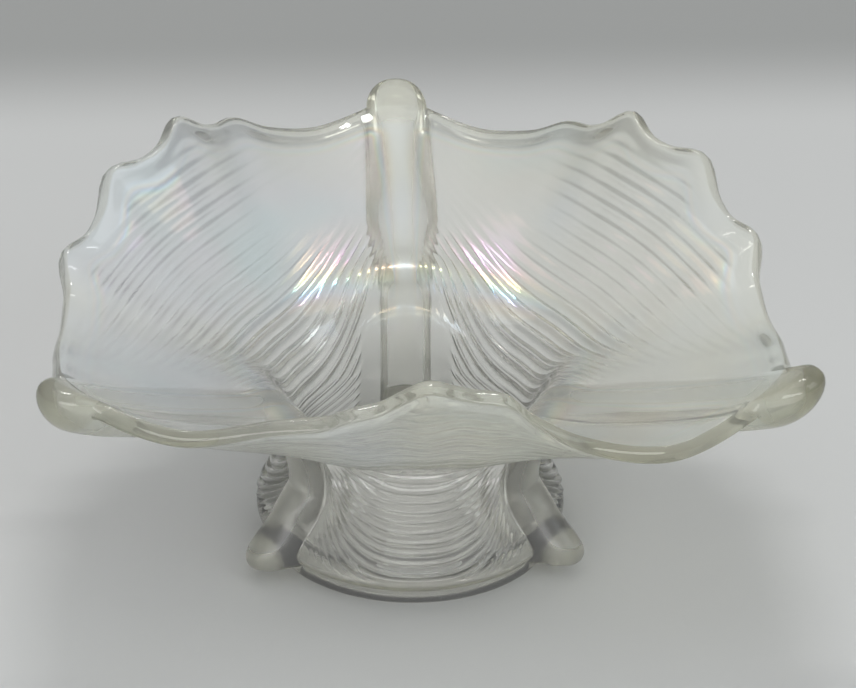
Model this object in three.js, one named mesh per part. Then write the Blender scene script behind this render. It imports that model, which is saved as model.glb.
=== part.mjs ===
// Three-cornered footed candy dish of pressed glass, with draped panels between three ribs.
// Millimetres, +Z up, front towards -Y. Angles are in degrees round the axis of the standing ring.
import * as THREE from 'three';

// Room left between pieces that touch
const GAP = 0.3;

// Glass wall of the bowl
const WALL = 3;

// Standing ring and floor
const RING_RADIUS = 32;
const RING_WIDTH = 6;
const RING_HEIGHT = 3;
const RING_ROUNDING = 0.8;
const FLOOR_THICKNESS = 3.2;

// Outside of the cup, once in the middle of a panel and once behind a rib
const PANEL_CUP = {
  belly: 34.4,
  bellyHeight: 7.6,
  waist: 29.6,
  waistHeight: 18.5,
  neck: 29,
  neckHeight: 27,
  bend: 33,
  bendHeight: 34.6,
  flareSlope: 26,
};
const RIB_CUP = {
  belly: 33,
  bellyHeight: 7,
  waist: 26.4,
  waistHeight: 17,
  neck: 27.2,
  neckHeight: 28.5,
  bend: 33.6,
  bendHeight: 43.4,
  flareSlope: 11,
};

// Left by shaping: the rise of the bend in the middle of the front, its drop towards the front corners, and the
// shift of the rim to the right
const FRONT_LIFT = 1;
const FRONT_DROP = 6;
const RIM_SHIFT = 0.5;

// Main sizes of the rim, between its scallops, as reach from the axis and height above the table: at the middle
// of the front lip, at the peaks of the back panels, at their sides towards the front, and at the corners
const FRONT_REACH = 58.8;
const LIP_HEIGHT = 68;
const PEAK_REACH = 71.6;
const PEAK_HEIGHT = 71.8;
const SIDE_REACH = 76.5;
const SIDE_HEIGHT = 56.2;
const CORNER_REACH = 86;
const CORNER_HEIGHT = 58.4;
const RIM_BEAD = 1;

// Falls of the rim away from those places
const LIP_FALL = 6.3;
const FRONT_DIP = 5.9;
const SIDE_DIP = 4.8;
const BACK_DIP = 4.1;
const PEAK_FALL = 9.6;

// Lean of the rim, left by shaping: how far its right side lies lower than the mean and its left side higher
const SHOULDER_LEAN = -1.5;
const DIP_LEAN = 2.6;
const CORNER_LEAN = 0.6;
const SIDE_LEAN = -1;
const BACK_LEAN = 1.1;

// Scallops along the rim, in the middle of the front panel and on the higher part of each back panel, where the
// last one towards the back corner is lower by a share
const FRONT_SCALLOPS = 3;
const BACK_SCALLOPS = 4;
const SCALLOP_PITCH = 15.5;
const SCALLOP_RISE = 2.5;
const SCALLOP_REACH = 2.7;
const SCALLOP_POINT = 1.4;
const LAST_SCALLOP = 0.5;

// Corners of the dish, counted round from the back one, with a panel between each two
const BACK_CORNER = 90;
const CORNER_COUNT = 3;
const PANEL_ARC = 360 / CORNER_COUNT;
const CORNERS = {
  back: BACK_CORNER,
  front_left: BACK_CORNER + PANEL_ARC,
  front_right: BACK_CORNER + 2 * PANEL_ARC,
};
const PANEL_MIDDLES = {
  drape_panel_back_left: BACK_CORNER + 0.5 * PANEL_ARC,
  drape_panel_front: BACK_CORNER + 1.5 * PANEL_ARC,
  drape_panel_back_right: BACK_CORNER + 2.5 * PANEL_ARC,
};

function rimAt(turn, reach, height, lean = 0) {
  return { turn, reach, height, lean };
}

// Stations of the rim on either side, by their turn from the middle of the front
const RIM = [
  rimAt(0, FRONT_REACH, LIP_HEIGHT),
  rimAt(SCALLOP_PITCH, FRONT_REACH, LIP_HEIGHT - LIP_FALL, SHOULDER_LEAN),
  rimAt(2 * SCALLOP_PITCH, FRONT_REACH + 5.7, CORNER_HEIGHT - 0.6 * FRONT_DIP, DIP_LEAN),
  rimAt(44, CORNER_REACH - 10, CORNER_HEIGHT - FRONT_DIP, DIP_LEAN),
  rimAt(PANEL_ARC / 2, CORNER_REACH, CORNER_HEIGHT, CORNER_LEAN),
  rimAt(75, CORNER_REACH - 5.3, SIDE_HEIGHT - 0.35 * SIDE_DIP),
  rimAt(PANEL_ARC - 2 * SCALLOP_PITCH, SIDE_REACH, SIDE_HEIGHT - SIDE_DIP),
  rimAt(PANEL_ARC - SCALLOP_PITCH, SIDE_REACH, SIDE_HEIGHT, SIDE_LEAN),
  rimAt(PANEL_ARC, SIDE_REACH - 2, PEAK_HEIGHT - 0.5 * PEAK_FALL, SIDE_LEAN),
  rimAt(PANEL_ARC + SCALLOP_PITCH, PEAK_REACH, PEAK_HEIGHT),
  rimAt(PANEL_ARC + 2 * SCALLOP_PITCH, CORNER_REACH - 7.6, PEAK_HEIGHT - PEAK_FALL, BACK_LEAN),
  rimAt(166, CORNER_REACH - 2.5, CORNER_HEIGHT - BACK_DIP, BACK_LEAN / 2),
  rimAt(1.5 * PANEL_ARC, CORNER_REACH, CORNER_HEIGHT),
];

// Ribs: legs on the cup, wider tongues on the flare, knobs that curl up past the rim, and how far each
// stands out from the wall, with a brace that fills the bend
const LEG_WIDTH = 11;
const LEG_RELIEF = 4.5;
const TONGUE_WIDTH = 16;
const TONGUE_RELIEF = 4;
const TONGUE_SPREAD = 22;
const BRACE_RELIEF = 2;
const KNOB_WIDTH = 13.8;
const KNOB_RELIEF = 6.5;
const KNOB_NECK = 30;
const KNOB_TIPS = {
  back: { reach: 8, rise: 6.2 },
  front_left: { reach: 4.4, rise: 6.2 },
  front_right: { reach: 8, rise: 8.5 },
};

// Feet under the ribs
const FOOT_HEIGHT = 20;
const TOE_REACH = 42.4;
const TOE_LIFT = 2.2;
const TOE_HEIGHT = 5.8;
const INSTEP_REACH = 37.2;
const INSTEP_HEIGHT = 12.2;
const HEEL_WIDTH = 2;

const FLARE_STEPS = [0.18, 0.38, 0.6, 0.82, 1];
const PANEL_COLUMNS = 36;
const ROUND_STEPS = 60;
const ACROSS = [-1, -0.8, -0.45, 0, 0.45, 0.8, 1];

// Stations along a wall section are counted up from the ring: belly, waist, neck, bend, flare, rim, knob
const BEND_STATION = 4;
const RIM_STATION = BEND_STATION + FLARE_STEPS.length;
const KNOB_STATION = RIM_STATION + 2;
const CUP_STATIONS = [0, 0.5, 1, 1.5, 2, 3, 3.5, BEND_STATION];
const FLARE_STATIONS = [4.5, 5, 6, 7, 7.7, 8.2, 8.6, RIM_STATION];
const PANEL_STATIONS = [...CUP_STATIONS, ...FLARE_STATIONS];
const KNOB_TURNS = [12, 24, 36, 48, 60, 72, 82];

const radians = THREE.MathUtils.degToRad;
const degrees = THREE.MathUtils.radToDeg;
const mix = THREE.MathUtils.lerp;

function clearGlass(colour, roughness) {
  return new THREE.MeshStandardMaterial({ color: colour, roughness, metalness: 0 });
}

// Angle from the middle of the panel that this angle lies in
function fromPanelMiddle(angle) {
  return THREE.MathUtils.euclideanModulo(angle - BACK_CORNER, PANEL_ARC) - PANEL_ARC / 2;
}

// The rim's stations with one more at each end, mirrored, so that the curve runs on smoothly there
function mirrored(station, about) {
  return { ...station, turn: 2 * about.turn - station.turn };
}
const RIM_ROUND = [mirrored(RIM[1], RIM[0]), ...RIM, mirrored(RIM.at(-2), RIM.at(-1))];

// Smooth curve through the rim's stations
function alongRim(turn, key) {
  const found = RIM_ROUND.findIndex((station) => station.turn >= turn);
  const next = THREE.MathUtils.clamp(found, 2, RIM_ROUND.length - 2);
  const [before, from, to, after] = RIM_ROUND.slice(next - 2, next + 2);
  const span = to.turn - from.turn;
  const t = (turn - from.turn) / span;
  const leave = ((to[key] - before[key]) / (to.turn - before.turn)) * span;
  const arrive = ((after[key] - from[key]) / (after.turn - from.turn)) * span;
  const rise = to[key] - from[key];
  return from[key] + t * (leave + t * (3 * rise - 2 * leave - arrive + t * (leave + arrive - 2 * rise)));
}

// How far an angle faces the front: 1 at its middle, 0 at the sides and the back
function towardsFront(angle) {
  return Math.max(-Math.sin(radians(angle)), 0);
}

// Height of a scallop, from 0 between two of them to 1 on its crest
function scallop(angle, turn) {
  const atFront = turn < (FRONT_SCALLOPS * SCALLOP_PITCH) / 2;
  const atBack = Math.abs(turn - PANEL_ARC - SCALLOP_PITCH / 2) < (BACK_SCALLOPS * SCALLOP_PITCH) / 2;
  const wave = Math.cos((2 * Math.PI * fromPanelMiddle(angle)) / SCALLOP_PITCH);
  const last = THREE.MathUtils.smoothstep(turn, PANEL_ARC + SCALLOP_PITCH, PANEL_ARC + 2 * SCALLOP_PITCH);
  const crest = mix(1, LAST_SCALLOP, last) * (0.5 + 0.5 * wave) ** SCALLOP_POINT;
  return atFront || atBack ? crest : 0;
}

function rimPoint(angle) {
  const turn = Math.abs(THREE.MathUtils.euclideanModulo(angle - BACK_CORNER, 360) - 180);
  const crest = scallop(angle, turn);
  const lean = Math.sign(Math.cos(radians(angle))) * alongRim(turn, 'lean');
  const reach = alongRim(turn, 'reach') + SCALLOP_REACH * crest;
  const height = alongRim(turn, 'height') + SCALLOP_RISE * crest - lean;
  return new THREE.Vector2(reach, height);
}

// Outside of the wall at one angle, from the top of the ring to the rim, as reach and height
function wallPoints(angle) {
  const share = Math.sin(radians((90 * Math.abs(fromPanelMiddle(angle))) / (PANEL_ARC / 2))) ** 3;
  const cup = (key) => mix(PANEL_CUP[key], RIB_CUP[key], share);
  const wave = Math.cos(radians(CORNER_COUNT * (angle - PANEL_MIDDLES.drape_panel_front)));
  const lift = mix(-FRONT_DROP, FRONT_LIFT, 0.5 + 0.5 * wave) * towardsFront(angle);
  const bend = new THREE.Vector2(cup('bend'), cup('bendHeight') + lift);
  const rim = rimPoint(angle);
  const slope = radians(cup('flareSlope'));
  const along = new THREE.Vector2(Math.cos(slope), Math.sin(slope));
  const pull = bend.clone().addScaledVector(along, bend.distanceTo(rim) / 2);
  const flare = new THREE.QuadraticBezierCurve(bend, pull, rim);
  return [
    new THREE.Vector2(RING_RADIUS, RING_HEIGHT + GAP),
    new THREE.Vector2(cup('belly'), cup('bellyHeight')),
    new THREE.Vector2(cup('waist'), cup('waistHeight')),
    new THREE.Vector2(cup('neck'), cup('neckHeight')),
    bend,
    ...FLARE_STEPS.map((step) => flare.getPoint(step)),
  ];
}

// The wall's section at one angle. The function that it returns gives, for a station, the point on the
// outside, the way up along the wall and the way out of the glass.
function wallSection(angle, extra = []) {
  const points = [...wallPoints(angle), ...extra];
  const curve = new THREE.SplineCurve(points);
  const stations = points.length - 1;
  return (station) => {
    const outside = curve.getPoint(station / stations);
    const tangent = curve.getTangent(station / stations);
    return { outside, tangent, out: new THREE.Vector2(tangent.y, -tangent.x) };
  };
}

// A rib's section runs on past the rim and curls up into its knob
function ribSection(corner) {
  const angle = CORNERS[corner];
  const { reach, rise } = KNOB_TIPS[corner];
  const rim = rimPoint(angle);
  const curl = new THREE.Vector2(rim.x + 0.58 * reach, rim.y + 0.37 * rise);
  const tip = new THREE.Vector2(rim.x + reach, rim.y + rise);
  return wallSection(angle, [curl, tip]);
}

function stationAtHeight(section, height) {
  let low = 0;
  let high = BEND_STATION;
  for (let step = 0; step < 40; step += 1) {
    const middle = (low + high) / 2;
    if (section(middle).outside.y < height) {
      low = middle;
    } else {
      high = middle;
    }
  }
  return low;
}

// Size of a rib at a reach from the axis, from leg to tongue to knob, for a rib whose rim lies at rimReach
function alongRib(reach, rimReach, leg, tongue, knob) {
  const spread = THREE.MathUtils.smoothstep(reach, RIB_CUP.bend, RIB_CUP.bend + TONGUE_SPREAD);
  const end = THREE.MathUtils.smoothstep(reach, rimReach - KNOB_NECK, rimReach);
  return mix(mix(leg, tongue, spread), knob, end);
}

function ribHalfWidth(reach, rimReach) {
  return alongRib(reach, rimReach, LEG_WIDTH, TONGUE_WIDTH, KNOB_WIDTH) / 2;
}

function ribRelief(reach, rimReach) {
  const rise = THREE.MathUtils.smoothstep(reach, RIB_CUP.neck, RIB_CUP.bend);
  const fall = THREE.MathUtils.smoothstep(reach, RIB_CUP.bend, RIB_CUP.bend + TONGUE_SPREAD);
  const brace = BRACE_RELIEF * rise * (1 - fall);
  return alongRib(reach, rimReach, LEG_RELIEF, TONGUE_RELIEF, KNOB_RELIEF) + brace;
}

function onRay(angle, reach, height, sideways = 0) {
  const along = radians(angle);
  const shift = RIM_SHIFT * THREE.MathUtils.smoothstep(reach, PANEL_CUP.bend, SIDE_REACH);
  const x = reach * Math.cos(along) - sideways * Math.sin(along) + shift;
  const y = reach * Math.sin(along) + sideways * Math.cos(along);
  return new THREE.Vector3(x, y, height);
}

// Closed body through a row of sections, each a front line and a back line with as many points
function loft(sections) {
  const side = sections[0].front.length;
  const loops = sections.map(({ front, back }) => [...front, ...[...back].reverse()]);
  const around = 2 * side;
  const triangles = [];
  const quad = (a, b, c, d) => triangles.push(a, b, c, a, c, d);
  for (let row = 0; row < loops.length - 1; row += 1) {
    for (let k = 0; k < around; k += 1) {
      const next = (k + 1) % around;
      quad(row * around + k, row * around + next, (row + 1) * around + next, (row + 1) * around + k);
    }
  }
  const lastRow = (loops.length - 1) * around;
  for (let k = 0; k < side - 1; k += 1) {
    const across = around - 1 - k;
    quad(across, across - 1, k + 1, k);
    quad(lastRow + k, lastRow + k + 1, lastRow + across - 1, lastRow + across);
  }
  return bodyFrom(loops.flat(), triangles);
}

function bodyFrom(points, triangles) {
  let volume = 0;
  for (let k = 0; k < triangles.length; k += 3) {
    const [a, b, c] = [points[triangles[k]], points[triangles[k + 1]], points[triangles[k + 2]]];
    volume += a.dot(b.clone().cross(c));
  }
  const outward = volume > 0 ? triangles : [...triangles].reverse();
  const body = new THREE.BufferGeometry().setFromPoints(points);
  body.setIndex(outward);
  body.computeVertexNormals();
  return body;
}

// Lathe turned from the Y axis of three.js to the upright axis of the dish
function turned(profile) {
  const points = profile.map(([reach, height]) => new THREE.Vector2(reach, height));
  return new THREE.LatheGeometry(points, ROUND_STEPS).rotateX(Math.PI / 2);
}

function standingRing() {
  const inner = RING_RADIUS - RING_WIDTH;
  const outer = RING_RADIUS;
  const round = RING_ROUNDING;
  return turned([
    [inner, round],
    [inner + round, 0],
    [outer - round, 0],
    [outer, round],
    [outer, RING_HEIGHT],
    [inner, RING_HEIGHT],
    [inner, round],
  ]);
}

// Floor disc on top of the ring, clear of the cup's inside
function bowlFloor() {
  const under = RING_HEIGHT + GAP;
  const top = under + FLOOR_THICKNESS;
  const edge = (height) => {
    const reaches = [CORNERS.back, PANEL_MIDDLES.drape_panel_front].map((angle) => {
      const section = wallSection(angle);
      const { outside, out } = section(stationAtHeight(section, height));
      return outside.x - WALL / out.x;
    });
    return Math.min(...reaches) - GAP;
  };
  return turned([
    [0, under],
    [edge(under), under],
    [edge(top), top],
    [0, top],
  ]);
}

// Point of the wall at one angle and station, a depth into the glass, as reach and height
function intoWall(angle, station, depth) {
  const { outside, out } = wallSection(angle)(station);
  return outside.addScaledVector(out, -depth);
}

// Rounded rim: a point past the rim's station, a depth into the glass
function pastRim(angle, depth) {
  const { outside, tangent, out } = wallSection(angle)(RIM_STATION);
  return outside.addScaledVector(tangent, RIM_BEAD).addScaledVector(out, -depth);
}

// Angle between a rib and the edge of the panel beside it, where locate(angle) is a point of that edge
function besideRib(ribAngle, side, locate) {
  const rimReach = rimPoint(ribAngle).x;
  let away = 0;
  for (let step = 0; step < 6; step += 1) {
    const { x: reach } = locate(ribAngle + side * away);
    away = degrees(Math.asin((ribHalfWidth(reach, rimReach) + GAP) / reach));
  }
  return side * away;
}

// One panel of the bowl, from rib to rib and from the ring to the rounded rim
function drapePanel(middle) {
  const start = middle - PANEL_ARC / 2;
  const end = middle + PANEL_ARC / 2;
  const line = (locate) => {
    const from = start + besideRib(start, 1, locate);
    const to = end + besideRib(end, -1, locate);
    return (share) => {
      const angle = mix(from, to, share);
      const { x: reach, y: height } = locate(angle);
      return onRay(angle, reach, height);
    };
  };
  const side = (depth, beadDepth) => [
    ...PANEL_STATIONS.map((station) => line((angle) => intoWall(angle, station, depth))),
    line((angle) => pastRim(angle, beadDepth)),
  ];
  const outerLines = side(0, WALL / 3);
  const innerLines = side(WALL, (2 * WALL) / 3);
  const columns = Array.from({ length: PANEL_COLUMNS + 1 }, (_, column) => column / PANEL_COLUMNS);
  return loft(columns.map((share) => ({
    front: outerLines.map((at) => at(share)),
    back: innerLines.map((at) => at(share)),
  })));
}

// Share of a rounded rib's height at a place across it, which leaves a low step at its sides
function crownAt(across) {
  return Math.sqrt(1 - 0.85 * across ** 2);
}

// Rib from the top of its foot, up the cup, out along the flare and into the rounded knob
function rib(corner) {
  const angle = CORNERS[corner];
  const section = ribSection(corner);
  const rimReach = rimPoint(angle).x;
  const bottom = stationAtHeight(section, FOOT_HEIGHT + GAP);
  const wallStations = PANEL_STATIONS.filter((station) => station > bottom);
  const along = [
    { station: bottom, rounding: 1 },
    ...wallStations.map((station) => ({ station, rounding: 1 })),
    ...KNOB_TURNS.map((turn) => ({
      station: mix(RIM_STATION, KNOB_STATION, Math.sin(radians(turn))),
      rounding: Math.cos(radians(turn)),
    })),
  ];
  const sections = along.map(({ station, rounding }) => {
    const { outside, out } = section(station);
    const relief = ribRelief(outside.x, rimReach);
    const place = (across, depth) => {
      const reach = outside.x + depth * out.x;
      const half = ribHalfWidth(reach, rimReach) * rounding;
      return onRay(angle, reach, outside.y + depth * out.y, across * half);
    };
    return {
      front: ACROSS.map((across) => place(across, relief * crownAt(across) * rounding)),
      back: ACROSS.map((across) => place(across, -WALL * rounding)),
    };
  });
  return loft(sections);
}

// Foot from just above the table to the rib over it, spreading into a rounded toe
function foot(angle) {
  const section = wallSection(angle);
  const top = stationAtHeight(section, FOOT_HEIGHT);
  const wallTop = section(top);
  const wallInstep = section(stationAtHeight(section, INSTEP_HEIGHT)).outside;
  const besideRing = RING_RADIUS + GAP;
  const overRing = RING_HEIGHT + GAP;
  const heel = besideRing + HEEL_WIDTH;
  const toeRound = TOE_HEIGHT / 2;
  const toeArc = [90, 45, 0, -45, -90].map((turn) => {
    const height = TOE_LIFT + toeRound + toeRound * Math.sin(radians(turn));
    const reach = TOE_REACH - toeRound + toeRound * Math.cos(radians(turn));
    return { low: new THREE.Vector2(heel, height), crest: new THREE.Vector2(reach, height) };
  });
  const front = [
    { low: wallTop.outside, crest: wallTop.outside.clone().addScaledVector(wallTop.out, LEG_RELIEF) },
    { low: wallInstep, crest: new THREE.Vector2(INSTEP_REACH, INSTEP_HEIGHT) },
    ...toeArc,
    { low: new THREE.Vector2(heel, TOE_LIFT), crest: new THREE.Vector2(heel, TOE_LIFT) },
  ];
  const back = [
    ...[1, 0.75, 0.5, 0.25].map((share) => intoWall(angle, top * share, WALL)),
    new THREE.Vector2(intoWall(angle, 0, WALL).x, overRing),
    new THREE.Vector2(besideRing, overRing),
    new THREE.Vector2(besideRing, (overRing + TOE_LIFT) / 2),
    new THREE.Vector2(besideRing, TOE_LIFT),
  ];
  return loft(ACROSS.map((across) => {
    const sideways = (across * LEG_WIDTH) / 2;
    const rounded = front.map(({ low, crest }) => low.clone().lerp(crest, crownAt(across)));
    const place = ({ x: reach, y: height }) => onRay(angle, reach, height, sideways);
    return { front: rounded.map(place), back: back.map(place) };
  }));
}

function piece(name, geometry, material) {
  const mesh = new THREE.Mesh(geometry, material);
  mesh.name = name;
  return mesh;
}

const dish = new THREE.Group();
dish.add(piece('foot_ring', standingRing(), clearGlass('#d9d8d0', 0.05)));
dish.add(piece('bowl_floor', bowlFloor(), clearGlass('#e4e4de', 0.05)));
Object.entries(PANEL_MIDDLES).forEach(([name, middle]) => {
  dish.add(piece(name, drapePanel(middle), clearGlass('#e9e8e4', 0.2)));
});
Object.entries(CORNERS).forEach(([corner, angle]) => {
  dish.add(piece(`rib_${corner}`, rib(corner), clearGlass('#d2d1c6', 0.08)));
  dish.add(piece(`foot_${corner}`, foot(angle), clearGlass('#cbc9bc', 0.06)));
});

// The origin is under the middle of the dish, on the surface that it stands on
const middle = new THREE.Box3().setFromObject(dish, true).getCenter(new THREE.Vector3());
dish.position.set(-middle.x, -middle.y, 0);

export default dish;
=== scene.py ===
"""Looks of a three-cornered candy dish of pressed, iridised glass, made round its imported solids."""
import math

import bpy
import numpy as np
from mathutils import Matrix, Vector


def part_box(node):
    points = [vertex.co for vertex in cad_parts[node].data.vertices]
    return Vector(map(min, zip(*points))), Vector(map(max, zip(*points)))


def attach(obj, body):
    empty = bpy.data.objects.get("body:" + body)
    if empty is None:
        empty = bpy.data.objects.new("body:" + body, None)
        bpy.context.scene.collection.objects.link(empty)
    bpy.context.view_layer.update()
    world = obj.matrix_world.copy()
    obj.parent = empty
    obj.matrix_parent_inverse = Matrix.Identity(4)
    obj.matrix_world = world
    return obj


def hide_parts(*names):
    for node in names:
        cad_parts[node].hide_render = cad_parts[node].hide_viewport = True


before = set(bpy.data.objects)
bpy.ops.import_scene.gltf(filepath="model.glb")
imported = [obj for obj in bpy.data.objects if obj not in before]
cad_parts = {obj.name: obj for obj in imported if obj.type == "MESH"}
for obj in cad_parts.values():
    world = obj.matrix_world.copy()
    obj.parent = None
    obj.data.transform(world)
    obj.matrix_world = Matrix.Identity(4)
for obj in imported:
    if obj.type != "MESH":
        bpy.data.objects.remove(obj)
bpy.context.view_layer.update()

# The dish is worked out in millimetres about the axis of its standing ring, with angles in degrees
MM = 0.001
ring_low, ring_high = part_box("foot_ring")
RING_AXIS = Vector(((ring_low.x + ring_high.x) / 2, (ring_low.y + ring_high.y) / 2, 0.0))

# Glass wall, underside from its middle out to the foot of the ring as reach and height, and the floor of the cup as
# inset from the wall and height
WALL = 3.0
RING_INNER = 26.0
RING_TOP = 3.3
UNDERSIDE = ((12.0, RING_TOP), (25.2, RING_TOP), (RING_INNER, 2.7), (RING_INNER, 0.7), (26.7, 0.0))
FLOOR_TOP = 6.5
FLOOR_EDGE = ((0.5, 7.7), (1.6, 6.9), (3.2, FLOOR_TOP), (14.0, FLOOR_TOP - 0.1))

# Outside of the cup as reach and height, in the middle of a panel and behind a rib: ring, belly, waist, neck, bend
PANEL_CUP = np.array([[32.0, 3.3], [34.4, 7.6], [29.6, 18.5], [29.0, 27.0], [33.0, 34.6]])
RIB_CUP = np.array([[32.0, 3.3], [33.0, 7.0], [26.4, 17.0], [27.2, 28.5], [33.6, 43.4]])
PANEL_SLOPE = 26.0
RIB_SLOPE = 11.0
FLARE_STEPS = np.array([0.18, 0.38, 0.6, 0.82, 1.0])

# Left by shaping: the rise of the bend in the middle of the front, its drop towards the front corners and the shift
# of the rim to the right
FRONT_LIFT = 1.0
FRONT_DROP = 6.0
RIM_SHIFT = 0.5

# Rim between its scallops, by the turn from the middle of the front: turn, reach, height, and lean, by which the right
# side lies lower and the left one higher
RIM = np.array([
    [0.0, 58.8, 68.0, 0.0], [15.5, 58.8, 61.7, -1.5], [31.0, 64.5, 54.86, 2.6], [44.0, 76.0, 52.5, 2.6],
    [60.0, 86.0, 58.4, 0.6], [75.0, 80.7, 54.52, 0.0], [89.0, 76.5, 51.4, 0.0], [104.5, 76.5, 56.2, -1.0],
    [120.0, 74.5, 67.0, -1.0], [135.5, 71.6, 71.8, 0.0], [151.0, 78.4, 62.2, 1.1], [166.0, 83.5, 54.3, 0.55],
    [180.0, 86.0, 58.4, 0.0],
])
SIDE_REACH = 76.5
CORNER_REACH = 86.0
FRONT_SCALLOPS = 3
BACK_SCALLOPS = 4
SCALLOP_PITCH = 15.5
SCALLOP_RISE = 2.5
SCALLOP_REACH = 2.7
SCALLOP_POINT = 1.4
LAST_SCALLOP = 0.5

# Corners, counted round from the back one
BACK_CORNER = 90.0
CORNERS = 3
PANEL_ARC = 360.0 / CORNERS

# Ribs: legs on the cup, tongues on the flare, knobs past the rim, and how far each stands out from the wall
LEG_WIDTH = 11.0
LEG_RELIEF = 4.5
TONGUE_WIDTH = 16.0
TONGUE_RELIEF = 4.0
TONGUE_START = 33.6
TONGUE_SPREAD = 22.0
BRACE_RELIEF = 2.0
KNOB_WIDTH = 13.8
KNOB_RELIEF = 6.5
KNOB_NECK = 30.0

# Rounded rim with its low bead, and the fillet between it and a knob
RIM_ROUND = 1.1
RIM_SWELL = 0.45
RIM_SWELL_WIDTH = 4.5
RIM_FILLET = 0.8
RIM_FILLET_WIDTH = 1.8

# Stretch along the wall over which a rib's bend is rounded out, and how softly
BEND_IN = (33.0, 42.0)
BEND_OUT = (52.0, 74.0)
BEND_SOFTNESS = 5.0

# How the back of a leg, a tongue and a knob is rounded: low for a full round, high for a soft swelling
LEG_ROUND = 0.5
TONGUE_ROUND = 1.0
KNOB_ROUND = 0.75

# Tips of the knobs from the rim, as reach and rise, for the back, front left and front right corner, and how square
# a knob is seen from above and how blunt seen from the side
KNOB_TIPS = np.array([[8.0, 6.2], [4.4, 6.2], [8.0, 8.5]])
KNOB_SQUARENESS = 2.4
KNOB_BLUNTNESS = 0.7

# Side of the standing ring, and the foot that grows from it under a rib, as reach and height up to the leg
RING_SIDE = np.array([[31.3, 0.0], [31.7, 0.3], [31.9, 0.8], [32.0, 1.5], [32.0, 2.2], [32.0, 2.8]])
FOOT_LINE = np.array([
    [31.3, 0.0], [31.8, 0.6], [32.3, 1.6], [33.7, 2.2], [36.4, 2.2], [39.5, 2.3], [41.5, 3.2], [42.4, 5.1],
    [41.8, 6.9], [40.3, 8.8], [38.2, 11.0], [36.0, 13.6], [33.9, 16.6],
])
FOOT_TOP = 20.0
FOOT_KEEL = 1.7
KEEL_END = (0.6, 1.0)

# Drapery: swags hang from rib to rib, each a ridge between two grooves. They lie wider apart from the neck up, and draw
# in again past a share of the wall, towards the rim.
SWAG_HANG = 28.0
SWAG_CURVE = 2.8
LOWEST_SWAG = 5.8
SWAGS = 21
SWAG_PITCH = 2.25
SPREAD_START = 24.0
SPREAD = 0.5
TIGHT_SHARE = 0.8
CUP_SWAG_DEPTH = 1.4
FLARE_SWAG_DEPTH = 0.6
SHEEN_DEPTH = 0.08
TOP_SWAG = LOWEST_SWAG + SWAGS * SWAG_PITCH

# Share of a ridge's height at which it keeps to the wall, and a whole number that keeps the count of swags positive
RIDGE_MIDDLE = 0.6
COUNT_FROM = 1000.0

# Where the swags fade: beside the ribs by margins at the front, at the back and on the flare, over the ring, below the
# rim, towards the front corners, and high up beside the back rib. In the front they are deeper on the flare.
FRONT_MARGIN, BACK_MARGIN, FLARE_MARGIN = 2.0, 6.0, 0.8
MARGIN_SOFTNESS = (-0.8, 1.6)
MARGIN_TURN = (90.0, 130.0)
MARGIN_RUN = (34.0, 46.0)
SWAGS_OVER_RING = (4.2, 6.2)
SWAGS_BELOW_RIM = (2.0, 9.0)
CORNER_FADE = (16.0, 46.0)
BACK_FADE = 0.85
BACK_FADE_RUN = (50.0, 66.0)
BACK_FADE_TURN = (125.0, 155.0)
FRONT_GAIN = 1.7
FRONT_GAIN_TURN = (30.0, 55.0)

# Finishes of every point: its place on the drapery, and from 0 to 1 the depth of the swags outside and of their sheen
# inside, the flare's share against the cup's, the lustre's film, satin for roughness, and smoke for a tint that is the
# olive of thick glass and also painted shade
FINISHES = ("swag_level", "swag_share", "swag_sheen", "flare", "film", "satin", "smoke")
CUP_TO_FLARE = (30.0, 52.0)
RING_BAND = (4.0, 6.5)
CUP_SATIN, FLARE_SATIN, INSIDE_SATIN = 0.03, 0.42, 0.28
LEG_SATIN, TONGUE_SATIN, KNOB_SATIN = 0.6, 0.6, 0.02
RING_SATIN, FOOT_SATIN, RIM_SATIN = 0.5, 0.4, 0.05
# Smoke: in the legs, tongues, ring and feet the olive of thick glass; at the knobs, which differ corner by corner, and
# along the rim it is painted shade for their darker look
LEG_SMOKE, TONGUE_SMOKE = 0.22, 0.06
KNOB_SMOKE_AND_SHADE = np.array([0.35, 0.75, 0.95])
RING_SMOKE, FOOT_SMOKE, RIM_SMOKE_AND_SHADE = 0.06, 0.1, 0.55
GLOSSY_RIM = (2.2, 4.2)
FILM_EDGE = (3.0, 9.0)
FILM_LOST_ON_RIB = 0.8

# Glass: its tints, its lustre, which is painted sheen, its ripple, and what the thickness of the glass takes from the
# light
CLEAR_TINT = (0.97, 0.97, 0.955, 1.0)
# Olive tint of thick glass, also laid on as painted shade at the knobs and along the rim
SMOKE_AND_SHADE_TINT = (0.66, 0.645, 0.53, 1.0)
# Lustre: pastel tints painted into the flare's colour as its iridescent sheen, from bluish on the left to warmer on the
# right
PAINTED_SHEEN = (
    (0.2, (0.88, 0.965, 1.0)), (0.36, (0.94, 0.965, 1.0)), (0.48, (0.97, 0.985, 0.96)), (0.62, (0.985, 0.99, 0.93)),
    (0.8, (0.95, 0.99, 0.97)),
)
PAINTED_SHEEN_DRIFT = 2.2
CLOUD_SCALE = 22.0
CLOUD_DETAIL = 2.0
CLOUD_RANGE = (0.3, 0.7)
FILM_NANOMETRES = (260.0, 420.0)
ROUGHNESS = (0.03, 0.5)
RIPPLE_SCALE = 80.0
RIPPLE_DETAIL = 1.0
RIPPLE_STRENGTH = 0.15
RIPPLE_DEPTH = 0.6
SMOKE_COLOUR = (0.8, 0.79, 0.45, 1.0)
SMOKE_DENSITY = 15.0

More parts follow.
